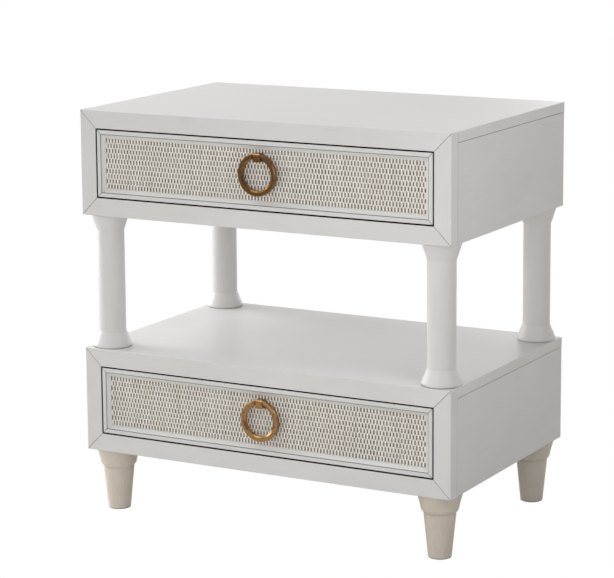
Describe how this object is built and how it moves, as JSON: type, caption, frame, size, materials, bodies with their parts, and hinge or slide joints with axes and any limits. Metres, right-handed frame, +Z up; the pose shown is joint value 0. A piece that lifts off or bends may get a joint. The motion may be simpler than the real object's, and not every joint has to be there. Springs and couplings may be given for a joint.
{
  "type": "nightstand",
  "caption": "Painted nightstand: inset drawers with woven fronts and ring pulls above and below an open shelf, on turned columns and tapered feet.",
  "frame": {"origin": "on the floor, under the middle of the whole object's box, the pull blocks included", "axes": "+X to the right of someone facing the drawers, +Y from the front to the back, +Z up"},
  "size_m": [0.711, 0.466, 0.716],
  "materials": {
    "painted_wood": "satin off-white paint on wood",
    "painted_feet": "satin warm off-white paint on turned wood",
    "drawer_box_wood": "clear-lacquered pale hardwood and plywood",
    "woven_raffia": "cream woven raffia",
    "aged_brass": "aged brushed brass",
    "runner_steel": "zinc-plated pressed steel",
    "zinc_steel": "zinc-plated steel"
  },
  "bodies": {
    "carcass": {"upper_top_panel": "painted_wood", "upper_case_bottom": "painted_wood", "upper_case_side_left": "painted_wood", "upper_case_side_right": "painted_wood", "upper_case_back": "painted_wood", "upper_face_rail_top": "painted_wood", "upper_face_rail_bottom": "painted_wood", "upper_face_stile_left": "painted_wood", "upper_face_stile_right": "painted_wood", "shelf_panel": "painted_wood", "lower_case_bottom": "painted_wood", "lower_case_side_left": "painted_wood", "lower_case_side_right": "painted_wood", "lower_case_back": "painted_wood", "lower_face_rail_top": "painted_wood", "lower_face_rail_bottom": "painted_wood", "lower_face_stile_left": "painted_wood", "lower_face_stile_right": "painted_wood", "column_front_left": "painted_wood", "column_front_right": "painted_wood", "column_rear_left": "painted_wood", "column_rear_right": "painted_wood", "foot_front_left": "painted_feet", "foot_front_right": "painted_feet", "foot_rear_left": "painted_feet", "foot_rear_right": "painted_feet", "runner_packing_strips": "drawer_box_wood", "runner_case_members": "runner_steel", "hanger_bolts": "zinc_steel", "hanger_nuts": "zinc_steel"},
    "upper_drawer": {"upper_drawer_moulding_top": "painted_wood", "upper_drawer_moulding_bottom": "painted_wood", "upper_drawer_moulding_left": "painted_wood", "upper_drawer_moulding_right": "painted_wood", "upper_drawer_front_board": "painted_wood", "upper_drawer_weave": "woven_raffia", "upper_drawer_side_left": "drawer_box_wood", "upper_drawer_side_right": "drawer_box_wood", "upper_drawer_back": "drawer_box_wood", "upper_drawer_bottom": "drawer_box_wood", "upper_drawer_runners": "runner_steel", "upper_pull_block": "aged_brass", "upper_pull_screw": "zinc_steel"},
    "upper_middle_runners": {"upper_middle_runners": "runner_steel"},
    "upper_ring": {"upper_ring_pull": "aged_brass"},
    "lower_drawer": {"lower_drawer_moulding_top": "painted_wood", "lower_drawer_moulding_bottom": "painted_wood", "lower_drawer_moulding_left": "painted_wood", "lower_drawer_moulding_right": "painted_wood", "lower_drawer_front_board": "painted_wood", "lower_drawer_weave": "woven_raffia", "lower_drawer_side_left": "drawer_box_wood", "lower_drawer_side_right": "drawer_box_wood", "lower_drawer_back": "drawer_box_wood", "lower_drawer_bottom": "drawer_box_wood", "lower_drawer_runners": "runner_steel", "lower_pull_block": "aged_brass", "lower_pull_screw": "zinc_steel"},
    "lower_middle_runners": {"lower_middle_runners": "runner_steel"},
    "lower_ring": {"lower_ring_pull": "aged_brass"}
  },
  "joints": [
    {"name": "upper_drawer_slide", "type": "slide", "parent": "carcass", "child": "upper_drawer", "axis": [0, -1, 0], "range_m": [0, 0.36]},
    {"name": "upper_runner_slide", "type": "slide", "parent": "carcass", "child": "upper_middle_runners", "axis": [0, -1, 0], "range_m": [0, 0.18]},
    {"name": "upper_ring_hinge", "type": "hinge", "parent": "upper_drawer", "child": "upper_ring", "pos_m": [0, -0.2286, 0.65642], "axis": [-1, 0, 0], "range_deg": [-4, 175]},
    {"name": "lower_drawer_slide", "type": "slide", "parent": "carcass", "child": "lower_drawer", "axis": [0, -1, 0], "range_m": [0, 0.36]},
    {"name": "lower_runner_slide", "type": "slide", "parent": "carcass", "child": "lower_middle_runners", "axis": [0, -1, 0], "range_m": [0, 0.18]},
    {"name": "lower_ring_hinge", "type": "hinge", "parent": "lower_drawer", "child": "lower_ring", "pos_m": [0, -0.2286, 0.23542], "axis": [-1, 0, 0], "range_deg": [-4, 175]}
  ],
  "couplings": [
    {"joint": "upper_runner_slide", "follows": "upper_drawer_slide", "ratio": 0.5},
    {"joint": "lower_runner_slide", "follows": "lower_drawer_slide", "ratio": 0.5}
  ]
}
